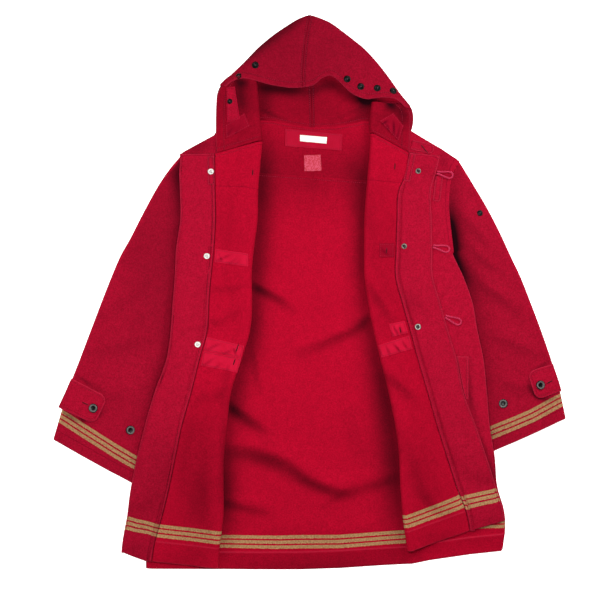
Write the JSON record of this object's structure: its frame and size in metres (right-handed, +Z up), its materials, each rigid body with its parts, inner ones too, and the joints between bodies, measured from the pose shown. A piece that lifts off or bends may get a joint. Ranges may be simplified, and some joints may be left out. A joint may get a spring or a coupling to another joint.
{
  "type": "duffle coat",
  "caption": "Hooded duffle coat in thick melton, laid open on its back with both fronts folded out, cord toggle loops and striped hems.",
  "frame": {"origin": "centre of the laid coat's bounding box, on the surface that it rests on", "axes": "+Z up from the surface, +Y from the hem to the hood, +X to the viewer's right when looking straight down"},
  "size_m": [1.0187, 1.1085, 0.0219],
  "materials": {
    "wool melton": "napped melton, crimson, with a woven triple stripe at hems and cuffs",
    "nylon tape": "thin woven nylon, slightly shiny",
    "woven tag": "plain woven satin, bare",
    "loop cord": "round braided cord",
    "nickel stud": "bright plated press stud",
    "black stud": "black lacquered press stud",
    "horn": "grey horn, polished rim and dull centre"
  },
  "bodies": {
    "root": {"back_panel": "wool melton", "back_yoke": "wool melton", "band_left": "wool melton", "band_right": "wool melton", "band_tab_left": "wool melton", "band_tab_right": "wool melton", "chest_tab": "wool melton", "cuff_button_left": "horn", "cuff_button_right": "horn", "cuff_tab_left": "wool melton", "cuff_tab_right": "wool melton", "front_left": "wool melton", "front_right": "wool melton", "front_snap_left_lower": "nickel stud", "front_snap_left_middle": "nickel stud", "front_snap_left_upper": "nickel stud", "front_snap_right_lower": "nickel stud", "front_snap_right_middle": "nickel stud", "front_snap_right_upper": "nickel stud", "hood_left": "wool melton", "hood_right": "wool melton", "hood_snap_1": "black stud", "hood_snap_2": "black stud", "hood_snap_3": "black stud", "hood_snap_4": "black stud", "hood_snap_5": "black stud", "hood_snap_6": "black stud", "hood_snap_7": "black stud", "label_patch": "nylon tape", "label_tag": "woven tag", "pocket_welt": "wool melton", "sleeve_button_left": "horn", "sleeve_button_right": "horn", "sleeve_left": "wool melton", "sleeve_right": "wool melton", "sleeve_snap": "black stud", "tape_left_lower": "nylon tape", "tape_left_middle": "nylon tape", "tape_left_upper": "nylon tape", "tape_right_lower": "nylon tape", "tape_right_middle": "nylon tape", "tape_right_upper": "nylon tape", "throat_tab": "wool melton", "toggle_loop_1": "loop cord", "toggle_loop_2": "loop cord", "toggle_loop_3": "loop cord"}
  },
  "joints": []
}
